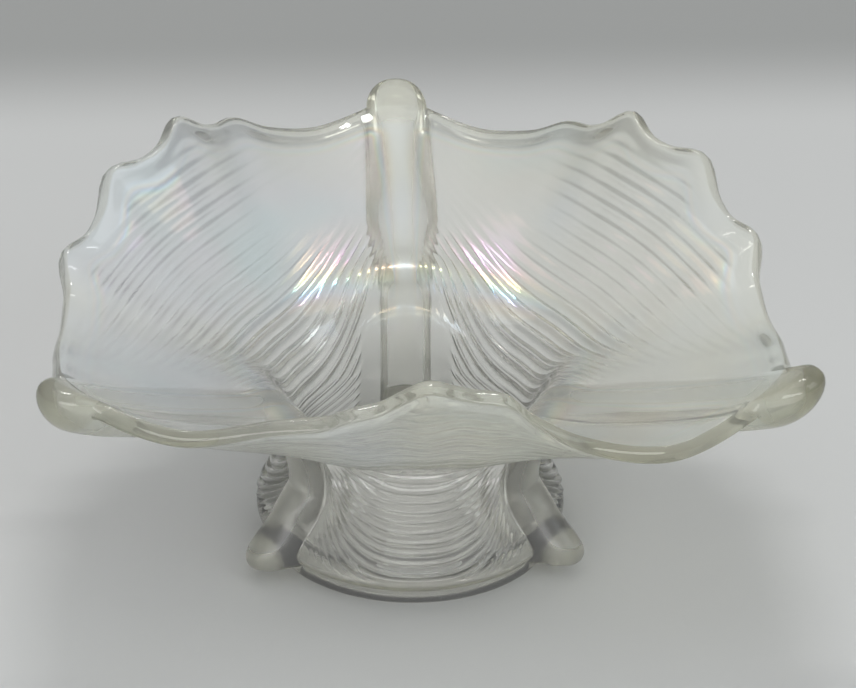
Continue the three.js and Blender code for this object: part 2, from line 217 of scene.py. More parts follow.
# Camera at the photograph's angle: degrees above the floor, to the side and of roll, then millimetres and pixels
CAMERA_LIFT, CAMERA_SWING, CAMERA_ROLL = 30.0, -3.482, 0.889
CAMERA_DISTANCE = 1200.0
CAMERA_TARGET = (3.34, 0.0, 46.9)
FOCAL_PIXELS = 5500.12
PICTURE_WIDTH = 856

# Floor with a darker stretch of painted shade, by metres behind the middle of the dish, and the room from eye level to
# overhead
PALE_PAPER = (0.625, 0.632, 0.625)
PAINTED_SHADE_PAPER = (0.385, 0.392, 0.385)
PAPER_WITH_PAINTED_SHADE = ((0.17, PALE_PAPER), (0.223, PAINTED_SHADE_PAPER), (0.4, PAINTED_SHADE_PAPER), (0.6, PALE_PAPER))
HALF_FLOOR = 3.0
EYE_LEVEL = (0.2, 0.2, 0.2, 1.0)
OVERHEAD = (0.48, 0.48, 0.48, 1.0)
OVERHEAD_START = 0.7

# Lights: name, place, aim, size, watts, colour
WHITE, DAYLIGHT = (1.0, 1.0, 1.0), (0.86, 0.95, 1.0)
LIGHTS = (
    ("overhead", (-0.1, 0.02, 0.95), (0.0, 0.0, 0.0), (0.9, 0.7), 1.6, WHITE),
    ("front_window", (-0.1, -1.05, 0.3), (0.0, 0.0, 0.03), (0.9, 0.3), 3.6, WHITE),
    ("window", (0.8, -0.5, 0.75), (0.0, 0.0, 0.05), (0.7, 0.7), 2.0, DAYLIGHT),
    ("tube", (0.0, 0.2, 0.8), (0.0, 0.0, 0.05), (0.25, 0.06), 1.3, WHITE),
)

# Fineness of the mesh, how closely its rows crowd near the ring and inside the rim, and where they end at the floor
RIB_COLUMNS = 21
PANEL_COLUMNS = 76
BOTTOM_ROWS = 44
TOP_ROWS = 54
EDGE_ROWS = 9
INSIDE_ROWS = 56
RIDGE_STEPS = np.array([0.0, 0.1, 0.3, 0.5, 0.7, 0.9])
BOTTOM_CROWDING = 1.5
INSIDE_CROWDING = 1.6
INSIDE_END = 0.066

# Place across a rib, from -1 to 1, that marks a point beside it
BESIDE_RIB = 2.0

# Searches: first guess of half a rib's angle and its rounds, length and steps of a leg, steps of a smoothed line
RIB_ANGLE = 6.0
RIB_ROUNDS = 12
LEG_RUN = 20.0
LEG_STEPS = 200
LINE_STEPS = 400


def smooth(low, high, value):
    share = np.clip((value - low) / (high - low), 0.0, 1.0)
    return share * share * (3.0 - 2.0 * share)


def mix(first, second, share):
    return first + (second - first) * share


def off_middle(angle):
    """Angle from the middle of the panel that an angle lies in."""
    return (angle - BACK_CORNER) % PANEL_ARC - PANEL_ARC / 2


def along_rim(turn, column):
    """Smooth curve through one column of the rim's stations."""
    turns = np.concatenate([[-RIM[1, 0]], RIM[:, 0], [360.0 - RIM[-2, 0]]])
    values = np.concatenate([[RIM[1, column]], RIM[:, column], [RIM[-2, column]]])
    at = np.clip(np.searchsorted(turns, turn) - 1, 1, len(turns) - 3)
    span = turns[at + 1] - turns[at]
    share = (turn - turns[at]) / span
    leave = (values[at + 1] - values[at - 1]) / (turns[at + 1] - turns[at - 1]) * span
    arrive = (values[at + 2] - values[at]) / (turns[at + 2] - turns[at]) * span
    rise = values[at + 1] - values[at]
    bend = 3 * rise - 2 * leave - arrive + share * (leave + arrive - 2 * rise)
    return values[at] + share * (leave + share * bend)


def front_turn(angle):
    """Turn from the middle of the front, to either side."""
    return np.abs((angle - BACK_CORNER) % 360.0 - 180.0)


def scallop(angle, turn):
    """Height of a scallop, from 0 between two of them to 1 on its crest."""
    at_front = turn < FRONT_SCALLOPS * SCALLOP_PITCH / 2
    at_back = np.abs(turn - PANEL_ARC - SCALLOP_PITCH / 2) < BACK_SCALLOPS * SCALLOP_PITCH / 2
    wave = 0.5 + 0.5 * np.cos(2 * np.pi * off_middle(angle) / SCALLOP_PITCH)
    last = smooth(PANEL_ARC + SCALLOP_PITCH, PANEL_ARC + 2 * SCALLOP_PITCH, turn)
    return np.where(at_front | at_back, mix(1.0, LAST_SCALLOP, last) * wave ** SCALLOP_POINT, 0.0)


def towards_front(angle):
    """How far an angle faces the front: 1 at its middle, 0 at the sides and the back."""
    return np.maximum(-np.sin(np.radians(angle)), 0.0)


def rim_point(angle):
    """Reach and height of the rim."""
    turn = front_turn(angle)
    crest = scallop(angle, turn)
    lean = np.sign(np.cos(np.radians(angle))) * along_rim(turn, 3)
    return along_rim(turn, 1) + SCALLOP_REACH * crest, along_rim(turn, 2) + SCALLOP_RISE * crest - lean


def wall_stations(angle):
    """Points that the outside of the wall runs through at each angle, from the ring to the rim."""
    share = np.sin(np.radians(90.0 * np.abs(off_middle(angle)) / (PANEL_ARC / 2))) ** 3
    cup = PANEL_CUP + (RIB_CUP - PANEL_CUP) * share[:, None, None]
    wave = np.cos(np.radians(CORNERS * (angle + BACK_CORNER)))
    cup[:, -1, 1] += mix(-FRONT_DROP, FRONT_LIFT, 0.5 + 0.5 * wave) * towards_front(angle)
    slope = np.radians(mix(PANEL_SLOPE, RIB_SLOPE, share))
    bend = cup[:, -1]
    rim = np.stack(rim_point(angle), -1)
    half = np.linalg.norm(rim - bend, axis=-1)[:, None] / 2
    pull = bend + half * np.stack([np.cos(slope), np.sin(slope)], -1)
    step = FLARE_STEPS[None, :, None]
    flare = (1 - step) ** 2 * bend[:, None] + 2 * step * (1 - step) * pull[:, None] + step ** 2 * rim[:, None]
    return np.concatenate([cup, flare], 1)


def spline(points, station):
    """Point and direction of the smooth curves through rows of points, one station for each row."""
    padded = np.concatenate([points[:, :1], points, points[:, -1:]], 1)
    at = np.clip(station.astype(int), 0, points.shape[1] - 2)
    row = np.arange(len(points))
    a, b, c, d = (padded[row, at + k] for k in range(4))
    t = (station - at)[:, None]
    place = 0.5 * (2 * b + (c - a) * t + (2 * a - 5 * b + 4 * c - d) * t ** 2 + (3 * b - a - 3 * c + d) * t ** 3)
    way = 0.5 * ((c - a) + 2 * (2 * a - 5 * b + 4 * c - d) * t + 3 * (3 * b - a - 3 * c + d) * t ** 2)
    return place, way / np.linalg.norm(way, axis=-1, keepdims=True)


class Wall:
    """Outside of the glass wall by angle and by the length up along it."""

    LAST = len(PANEL_CUP) + len(FLARE_STEPS) - 1

    def __init__(self, angles=721, steps=361):
        self.angles = np.linspace(0.0, 360.0, angles)
        stations = np.linspace(0.0, self.LAST, steps)
        points = wall_stations(self.angles)
        lines = np.stack([spline(points, np.full(angles, s))[0] for s in stations], 1)
        runs = np.linalg.norm(np.diff(lines, axis=1), axis=-1)
        lengths = np.concatenate([np.zeros((angles, 1)), np.cumsum(runs, 1)], 1)
        self.whole = lengths[:, -1]
        self.shares = np.linspace(0.0, 1.0, steps)
        self.stations = np.stack([np.interp(self.shares * w, row, stations) for w, row in zip(self.whole, lengths)])

    def length(self, angle):
        return np.interp(angle % 360.0, self.angles, self.whole)

    def place(self, angle, along):
        """Reach and height on the outside, and the ways up along the wall and out of the glass."""
        x = (angle % 360.0) / 360.0 * (len(self.angles) - 1)
        y = np.clip(along / self.length(angle), 0.0, 1.0) * (len(self.shares) - 1)
        i = np.minimum(x.astype(int), len(self.angles) - 2)
        j = np.minimum(y.astype(int), len(self.shares) - 2)
        low = mix(self.stations[i, j], self.stations[i + 1, j], x - i)
        high = mix(self.stations[i, j + 1], self.stations[i + 1, j + 1], x - i)
        point, up = spline(wall_stations(angle), mix(low, high, y - j))
        return point, up, np.stack([up[:, 1], -up[:, 0]], -1)


wall = Wall()


def along_rib(reach, leg, tongue, knob):
    """A rib's size where its wall lies at a reach from the axis, from leg to tongue to knob."""
    spread = smooth(TONGUE_START, TONGUE_START + TONGUE_SPREAD, reach)
    end = smooth(CORNER_REACH - KNOB_NECK, CORNER_REACH, reach)
    return mix(mix(leg, tongue, spread), knob, end)


def rib_half_width(reach):
    return along_rib(reach, LEG_WIDTH, TONGUE_WIDTH, KNOB_WIDTH) / 2


def rib_relief(reach):
    """How far a rib stands out, with the brace that fills its bend."""
    fall = smooth(TONGUE_START, TONGUE_START + TONGUE_SPREAD, reach)
    brace = BRACE_RELIEF * smooth(RIB_CUP[3, 0], TONGUE_START, reach) * (1.0 - fall)
    return along_rib(reach, LEG_RELIEF, TONGUE_RELIEF, KNOB_RELIEF) + brace


def rim_swell(to_rim):
    return RIM_SWELL * (1.0 - smooth(0.0, RIM_SWELL_WIDTH, to_rim))


def crown(across, reach):
    """Share of a rib's full height at a place across it, 0 beside the rib."""
    inside = np.clip(1.0 - across ** 2, 0.0, 1.0)
    return inside ** along_rib(reach, LEG_ROUND, TONGUE_ROUND, KNOB_ROUND)


def swag_hang(off):
    """How much higher up the wall a swag lies than in the middle of its panel."""
    return SWAG_HANG * (np.abs(off) / (PANEL_ARC / 2)) ** SWAG_CURVE


def swag_level(angle, along):
    """Level of a place on the drapery, the same all along one swag."""
    drawn_in = (along + SPREAD * SPREAD_START) / (1.0 + SPREAD)
    return np.where(along < SPREAD_START, along, drawn_in) - swag_hang(off_middle(angle))


def swag_line(level, off, whole):
    """Length up along the wall of a swag's level, drawn in towards the rim."""
    hung = level + swag_hang(off)
    share = (hung + SPREAD * np.maximum(hung - SPREAD_START, 0.0)) / whole
    rest = 1.0 - TIGHT_SHARE
    tight = TIGHT_SHARE + rest * (1.0 - np.exp((TIGHT_SHARE - share) / rest))
    return whole * np.where(share < TIGHT_SHARE, share, tight)


def row_lines():
    """Rows of the outside from the ring to the rim, each a rule that gives the length up along the wall."""
    low = [
        lambda off, whole, k=k: swag_line(LOWEST_SWAG, off, whole) * (k / BOTTOM_ROWS) ** BOTTOM_CROWDING
        for k in range(BOTTOM_ROWS)
    ]
    levels = [LOWEST_SWAG + (k + step) * SWAG_PITCH for k in range(SWAGS) for step in RIDGE_STEPS]
    swags = [lambda off, whole, level=level: swag_line(level, off, whole) for level in levels]
    top = [
        lambda off, whole, k=k: mix(swag_line(TOP_SWAG, off, whole), whole, k / TOP_ROWS)
        for k in range(TOP_ROWS + 1)
    ]
    return low + swags + top


def rib_edges(line):
    """Angles from each corner to the two edges of its rib, and the lengths up along the wall there, on one row."""
    corner = np.repeat(BACK_CORNER + PANEL_ARC * np.arange(CORNERS), 2)
    side = np.tile([-1.0, 1.0], CORNERS)
    away = np.full(2 * CORNERS, RIB_ANGLE)
    for _ in range(RIB_ROUNDS):
        angle = corner + side * away
        along = line(off_middle(angle), wall.length(angle))
        reach = wall.place(angle, along)[0][:, 0]
        away = np.degrees(np.arcsin(rib_half_width(reach) / reach))
    return away.reshape(CORNERS, 2), along.reshape(CORNERS, 2)


def outside_grid():
    """Angle, length up along the wall, place across the rib and angle from the rib of every point on the outside.
    The columns run round the dish: for each corner its rib from edge to edge, then the panel up to the next rib."""
    across = np.sin(np.linspace(-np.pi / 2, np.pi / 2, RIB_COLUMNS))
    even = np.linspace(0.0, 1.0, PANEL_COLUMNS + 2)[1:-1]
    lines = row_lines()
    columns = CORNERS * (RIB_COLUMNS + PANEL_COLUMNS)
    angle, along, edge_gap = (np.zeros((len(lines), columns)) for _ in range(3))
    for row, line in enumerate(lines):
        away, reached = rib_edges(line)
        for k in range(CORNERS):
            corner = BACK_CORNER + k * PANEL_ARC
            start = k * (RIB_COLUMNS + PANEL_COLUMNS)
            rib = slice(start, start + RIB_COLUMNS)
            panel = slice(rib.stop, rib.stop + PANEL_COLUMNS)
            angle[row, rib] = corner + across * np.where(across < 0, away[k, 0], away[k, 1])
            along[row, rib] = mix(reached[k, 0], reached[k, 1], (across + 1) / 2)
            first = corner + away[k, 1]
            last = corner + PANEL_ARC - away[(k + 1) % CORNERS, 0]
            angle[row, panel] = mix(first, last, even)
            along[row, panel] = line(off_middle(angle[row, panel]), wall.length(angle[row, panel]))
            edge_gap[row, panel] = np.minimum(angle[row, panel] - first, last - angle[row, panel])
    rib_place = np.tile(np.concatenate([across, np.full(PANEL_COLUMNS, BESIDE_RIB)]), CORNERS)
    return angle, along, rib_place, edge_gap


def along_line(points, shares):
    """Points at even shares of a smoothed line's length."""
    stations = np.linspace(0.0, len(points) - 1, LINE_STEPS)
    fine = spline(np.repeat(points[None], LINE_STEPS, 0), stations)[0]
    run = np.concatenate([[0.0], np.cumsum(np.linalg.norm(np.diff(fine, axis=0), axis=1))])
    wanted = shares * run[-1]
    return np.stack([np.interp(wanted, run, fine[:, 0]), np.interp(wanted, run, fine[:, 1])], -1)


def knob_path(start, up, end, share):
    """Place on the path that leaves the rim along the wall and curls to its end, and the way out of the glass."""
    pull = 0.5 * np.linalg.norm(end, axis=-1, keepdims=True) * up
    place = start + 2 * share * (1 - share) * pull + share ** 2 * end
    way = (1 - share) * pull + share * (end - pull)
    way /= np.linalg.norm(way, axis=-1, keepdims=True)
    return place, np.stack([way[:, 1], -way[:, 0]], -1)


def round_places(angle, section):
    """Points in metres from angles and a section of reach and height."""
    turn = np.radians(angle)
    reach, height = section[:, 0], section[:, 1]
    shift = RIM_SHIFT * smooth(PANEL_CUP[-1, 0], SIDE_REACH, reach)
    return np.stack([reach * np.cos(turn) + shift, reach * np.sin(turn), height], -1) * MM


class Skin:
    """Rows of the dish's skin: points, and for each of them the finishes."""

    def __init__(self):
        self.rows = []

    def add(self, angle, section, **finish):
        values = {label: np.full(len(angle), 0.0) + finish.get(label, 0.0) for label in FINISHES}
        self.rows.append((round_places(angle, section), values))


def level_line(angle, reach, height):
    return np.tile([[reach, height]], (len(angle), 1))


def by_corner(values):
    """Values of the three corners, each for its columns of the grid."""
    return np.repeat(values, RIB_COLUMNS + PANEL_COLUMNS, 0)


def add_underside(skin, angle):
    for reach, height in UNDERSIDE:
        skin.add(angle, level_line(angle, reach, height), satin=RING_SATIN, smoke=RING_SMOKE)


def foot_rows(along):
    """Points of a foot's line, one for each row of the ring's side and for the rows of the wall below its top,
    with the number of the latter."""
    run = np.linspace(0.0, LEG_RUN, LEG_STEPS)
    leg = wall.place(np.full(LEG_STEPS, BACK_CORNER), run)[0]
    top_run = np.interp(FOOT_TOP, leg[:, 1], run)
    top, _, out = wall.place(np.array([BACK_CORNER]), np.array([top_run]))
    count = int(np.sum(along[:, RIB_COLUMNS // 2] < top_run))
    line = np.concatenate([FOOT_LINE, top + LEG_RELIEF * out])
    return along_line(line, np.linspace(0.0, 1.0, count + len(RING_SIDE))), count


def swag_share(angle, along, beside, to_rim):
    """Share of the full depth of the swags. They end beside the ribs, over the ring and below the rim. On the flare
    they are deeper in the front, and fade out towards the front corners and high up beside the back rib."""
    turn = front_turn(angle)
    cup_margin = mix(FRONT_MARGIN, BACK_MARGIN, smooth(*MARGIN_TURN, turn))
    margin = mix(cup_margin, FLARE_MARGIN, smooth(*MARGIN_RUN, along))
    from_rib = smooth(margin + MARGIN_SOFTNESS[0], margin + MARGIN_SOFTNESS[1], beside)
    edges = from_rib * smooth(*SWAGS_OVER_RING, along) * smooth(*SWAGS_BELOW_RIM, to_rim)
    corner_fade = smooth(*CORNER_FADE, np.abs(turn - PANEL_ARC / 2))
    height_fade = 1.0 - BACK_FADE * smooth(*BACK_FADE_RUN, along) * smooth(*BACK_FADE_TURN, turn)
    front_gain = mix(FRONT_GAIN, 1.0, smooth(*FRONT_GAIN_TURN, turn))
    return edges * mix(1.0, corner_fade * height_fade * front_gain, smooth(*CUP_TO_FLARE, along))


def soften_bend(sections, along, raised):
    """Rounds out the bend of the ribs on their outside."""
    for column in np.flatnonzero(raised[0]):
        run = along[:, column]
        near = np.exp(-0.5 * ((run[:, None] - run) / BEND_SOFTNESS) ** 2) * np.gradient(run)
        soft = near @ sections[:, column] / near.sum(1)[:, None]
        share = smooth(*BEND_IN, run) * (1.0 - smooth(*BEND_OUT, run)) * raised[:, column]
        sections[:, column] = mix(sections[:, column], soft, share[:, None])


def raised_sections(angle, along, rib_place):
    """Reach and height of every point on the outside of the wall and its ribs, with the ribs' share of their height."""
    places, outs = (np.zeros((*angle.shape, 2)) for _ in range(2))
    for row in range(len(angle)):
        places[row], _, outs[row] = wall.place(angle[row], along[row])
    reach = places[..., 0]
    raised = crown(rib_place, reach)
    swell = rim_swell(wall.length(angle) - along) * (1.0 - raised)
    sections = places + (rib_relief(reach) * raised + swell)[..., None] * outs
    soften_bend(sections, along, raised)
    return places, sections, raised


def add_outside(skin, angle, along, rib_place, edge_gap):
    """Ring, cup and flare with their legs and tongues."""
    foot, count = foot_rows(along)
    places, sections, raises = raised_sections(angle, along, rib_place)
    low_crown = crown(rib_place, np.full(len(rib_place), PANEL_CUP[0, 0])) ** FOOT_KEEL
    for (reach, height), point in zip(RING_SIDE, foot):
        side = level_line(angle[0], reach, height)
        satin, smoke = mix(RING_SATIN, FOOT_SATIN, low_crown), mix(RING_SMOKE, FOOT_SMOKE, low_crown)
        skin.add(angle[0], side + low_crown[:, None] * (point - side), satin=satin, smoke=smoke)
    for row in range(len(angle)):
        place, section, raised = places[row], sections[row], raises[row]
        reach = place[:, 0]
        to_rim = wall.length(angle[row]) - along[row]
        if row < count:
            keel = raised ** mix(FOOT_KEEL, 1.0, smooth(*KEEL_END, row / count))
            section = place + keel[:, None] * (foot[row + len(RING_SIDE)] - place)
        on_flare = smooth(*CUP_TO_FLARE, along[row])
        band = 1.0 - smooth(*RING_BAND, along[row])
        wall_satin = mix(mix(CUP_SATIN, RING_SATIN, band), FLARE_SATIN, on_flare)
        rib_satin = mix(mix(LEG_SATIN, FOOT_SATIN, band), TONGUE_SATIN, on_flare)
        satin = mix(wall_satin, rib_satin, raised ** 0.5)
        # Smoke on a rib: olive tint in the legs, painted shade at the knobs, darker at the front corners
        rib_smoke_and_shade = mix(along_rib(reach, LEG_SMOKE, TONGUE_SMOKE, by_corner(KNOB_SMOKE_AND_SHADE)), FOOT_SMOKE, band)
        skin.add(
            angle[row], section, swag_level=swag_level(angle[row], along[row]),
            swag_share=swag_share(angle[row], along[row], np.radians(edge_gap[row]) * reach, to_rim), flare=on_flare,
            satin=satin * smooth(*GLOSSY_RIM, to_rim), smoke=mix(band * RING_SMOKE, rib_smoke_and_shade, raised),
        )


def add_rim(skin, angle, along, rib_place, edge_gap):
    """Rounded rim, swelling into a knob at the end of each rib."""
    rim, up, _ = wall.place(angle, along)
    raised = crown(rib_place, rim[:, 0])
    is_rib = np.abs(rib_place) <= 1.0
    lobe = np.where(is_rib, np.clip(1.0 - np.abs(rib_place) ** KNOB_SQUARENESS, 0.0, 1.0) ** 0.5, 0.0)
    fillet = np.where(is_rib, 1.0, np.exp(-np.radians(edge_gap) * rim[:, 0] / RIM_FILLET_WIDTH))
    round_off = (RIM_ROUND + RIM_FILLET * fillet)[:, None] * up
    end = mix(round_off, by_corner(KNOB_TIPS), lobe[:, None])
    thick = WALL + KNOB_RELIEF * raised + 2.0 * RIM_SWELL * (1.0 - raised)
    middle = (KNOB_RELIEF * raised - WALL) / 2
    blunt = mix(1.0, KNOB_BLUNTNESS, lobe)
    turns = np.linspace(0.0, 90.0, EDGE_ROWS + 2)[1:]
    for turn in np.concatenate([turns, 180.0 - turns[-2::-1]]):
        place, out = knob_path(rim, up, end, math.sin(math.radians(turn)))
        swell = math.cos(math.radians(turn))
        offset = middle + math.copysign(1.0, swell) * np.abs(swell) ** blunt * thick / 2
        # Smoke here is painted shade: darker rim edges and knobs
        skin.add(
            angle, place + offset[:, None] * out, flare=1.0, satin=mix(RIM_SATIN, KNOB_SATIN, lobe),
            smoke=mix(RIM_SMOKE_AND_SHADE, by_corner(KNOB_SMOKE_AND_SHADE), lobe),
        )


def add_inside(skin, angle, rib_place, edge_gap):
    """Inside of the wall from the rim down to the floor."""
    whole = wall.length(angle)
    for share in 1.0 - (1.0 - INSIDE_END) * np.linspace(0.0, 1.0, INSIDE_ROWS) ** INSIDE_CROWDING:
        place, _, out = wall.place(angle, share * whole)
        on_flare = smooth(*CUP_TO_FLARE, share * whole)
        behind = crown(rib_place, place[:, 0])
        satin = mix(CUP_SATIN, mix(INSIDE_SATIN, TONGUE_SATIN, behind), on_flare)
        to_rim = (1.0 - share) * whole
        inner = place - (WALL + rim_swell(to_rim) * (1.0 - behind))[:, None] * out
        sheen = swag_share(angle, share * whole, np.radians(edge_gap) * place[:, 0], to_rim) * on_flare
        skin.add(
            angle, inner, swag_level=swag_level(angle, share * whole), swag_sheen=sheen, flare=on_flare,
            film=on_flare * (1.0 - FILM_LOST_ON_RIB * behind) * smooth(*FILM_EDGE, to_rim),
            satin=satin * smooth(*GLOSSY_RIM, to_rim),
        )
    for inset, height in FLOOR_EDGE:
        skin.add(angle, np.stack([inner[:, 0] - inset, np.full(len(angle), height)], -1), satin=CUP_SATIN)


def dish_rows():
    """All rows of the dish's skin, from under the floor, up the outside, over the rim and down the inside."""
    angle, along, rib_place, edge_gap = outside_grid()
    skin = Skin()
    add_underside(skin, angle[0])
    add_outside(skin, angle, along, rib_place, edge_gap)
    add_rim(skin, angle[-1], along[-1], rib_place, edge_gap[-1])
    add_inside(skin, angle[-1], rib_place, edge_gap[-1])
    return skin.rows


def skin_mesh(name, rows):
    """One closed mesh through all rows, with a point in the middle of the underside and of the floor."""
    points = np.concatenate([row[0] for row in rows])
    count = len(rows[0][0])
    underside = np.array([[0.0, 0.0, rows[0][0][0, 2]]])
    floor = np.array([[0.0, 0.0, rows[-1][0][0, 2]]])
    points = np.concatenate([points, underside, floor]) + np.array(RING_AXIS)
    index = np.arange(len(rows) * count).reshape(len(rows), count)
    beside = np.roll(index, -1, 1)
    quads = np.stack([index[:-1], beside[:-1], beside[1:], index[1:]], -1).reshape(-1, 4)
    low, high = len(points) - 2, len(points) - 1
    fans = [(low, b, a) for a, b in zip(index[0], beside[0])]
    fans += [(a, b, high) for a, b in zip(index[-1], beside[-1])]
    mesh = bpy.data.meshes.new(name)
    mesh.from_pydata(points.tolist(), [], quads.tolist() + fans)
    for label in FINISHES:
        values = np.concatenate([finish[label] for _, finish in rows] + [np.zeros(2)]).astype(np.float32)
        mesh.attributes.new(label, "FLOAT", "POINT").data.foreach_set("value", values)
    mesh.update()
    return mesh


def feed(links, socket, value):
    """Joins another node's socket to this one, or sets it to a plain value."""
    if isinstance(value, bpy.types.NodeSocket):
        links.new(value, socket)
    else:
        socket.default_value = value


def maths(tree, operation, *values):
    node = tree.nodes.new("ShaderNodeMath")
    node.operation = operation
    for socket, value in zip(node.inputs, values):
        feed(tree.links, socket, value)
    return node.outputs[0]


def drapery_tree():
    """Geometry nodes that raise the swags on the outside of the dish, with their sizes as named inputs."""
    tree = bpy.data.node_groups.new("drapery_swags", "GeometryNodeTree")
    tree.interface.new_socket(name="Dish", in_out="INPUT", socket_type="NodeSocketGeometry")
    for name in ("Lowest", "Pitch", "Cup Depth", "Flare Depth"):
        tree.interface.new_socket(name=name, in_out="INPUT", socket_type="NodeSocketFloat")
    tree.interface.new_socket(name="Glass", in_out="INPUT", socket_type="NodeSocketMaterial")
    tree.interface.new_socket(name="Dish", in_out="OUTPUT", socket_type="NodeSocketGeometry")
    nodes, links = tree.nodes, tree.links
    sizes = nodes.new("NodeGroupInput")
    result = nodes.new("NodeGroupOutput")

    def named(label):
        node = nodes.new("GeometryNodeInputNamedAttribute")
        node.data_type = "FLOAT"
        node.inputs["Name"].default_value = label
        return node.outputs["Attribute"]

    def between(first, second, share):
        return maths(tree, "MULTIPLY_ADD", maths(tree, "SUBTRACT", second, first), share, first)

    above = maths(tree, "SUBTRACT", named("swag_level"), sizes.outputs["Lowest"])
    counted = maths(tree, "DIVIDE", above, sizes.outputs["Pitch"])
    place = maths(tree, "FRACT", maths(tree, "ADD", counted, COUNT_FROM))
    across = maths(tree, "MULTIPLY_ADD", place, 2.0, -1.0)
    ridge = maths(tree, "SUBTRACT", 1.0, maths(tree, "MULTIPLY", across, across))
    wave = maths(tree, "MULTIPLY_ADD", maths(tree, "COSINE", maths(tree, "MULTIPLY", across, math.pi)), 0.5, 0.5)
    soft = named("flare")
    form = maths(tree, "SUBTRACT", between(ridge, wave, soft), RIDGE_MIDDLE)
    depth = between(sizes.outputs["Cup Depth"], sizes.outputs["Flare Depth"], soft)
    height = maths(tree, "MULTIPLY", maths(tree, "MULTIPLY", form, depth), named("swag_share"))
    offset = nodes.new("ShaderNodeVectorMath")
    offset.operation = "SCALE"
    links.new(nodes.new("GeometryNodeInputNormal").outputs[0], offset.inputs[0])
    links.new(height, offset.inputs["Scale"])
    move = nodes.new("GeometryNodeSetPosition")
    links.new(sizes.outputs["Dish"], move.inputs["Geometry"])
    links.new(offset.outputs[0], move.inputs["Offset"])
    shade = nodes.new("GeometryNodeSetShadeSmooth")
    links.new(move.outputs[0], shade.inputs["Geometry"])
    whole = nodes.new("GeometryNodeRealizeInstances")
    links.new(shade.outputs[0], whole.inputs[0])
    finish = nodes.new("GeometryNodeSetMaterial")
    links.new(whole.outputs[0], finish.inputs["Geometry"])
    links.new(sizes.outputs["Glass"], finish.inputs["Material"])
    links.new(finish.outputs[0], result.inputs["Dish"])
    return tree


def drape(dish, glass):
    """Runs the drapery over the dish and leaves a plain mesh."""
    tree = drapery_tree()
    modifier = dish.modifiers.new("drapery", "NODES")
    modifier.node_group = tree
    values = {
        "Lowest": LOWEST_SWAG, "Pitch": SWAG_PITCH, "Cup Depth": CUP_SWAG_DEPTH * MM,
        "Flare Depth": FLARE_SWAG_DEPTH * MM, "Glass": glass,
    }
    for socket in tree.interface.items_tree:
        if socket.item_type == "SOCKET" and socket.in_out == "INPUT" and socket.name in values:
            modifier[socket.identifier] = values[socket.name]
    bpy.context.view_layer.update()
    draped = dish.evaluated_get(bpy.context.evaluated_depsgraph_get())
    mesh = bpy.data.meshes.new_from_object(draped)
    dish.modifiers.remove(modifier)
    dish.data = mesh


def colour_ramp(tree, share, stops):
    node = tree.nodes.new("ShaderNodeValToRGB")
    elements = node.color_ramp.elements
    for element, (position, colour) in ((elements[0], stops[0]), (elements[1], stops[-1])):
        element.position, element.color = position, (*colour, 1.0)
    for position, colour in stops[1:-1]:
        elements.new(position).color = (*colour, 1.0)
    tree.links.new(share, node.inputs["Fac"])
    return node


def map_range(tree, value, from_range, to_range):
    node = tree.nodes.new("ShaderNodeMapRange")
    node.inputs["From Min"].default_value, node.inputs["From Max"].default_value = from_range
    node.inputs["To Min"].default_value, node.inputs["To Max"].default_value = to_range
    tree.links.new(value, node.inputs["Value"])
    return node


def noise(tree, place, scale, detail):
    node = tree.nodes.new("ShaderNodeTexNoise")
    node.inputs["Scale"].default_value = scale
    node.inputs["Detail"].default_value = detail
    tree.links.new(place, node.inputs["Vector"])
    return node.outputs["Fac"]


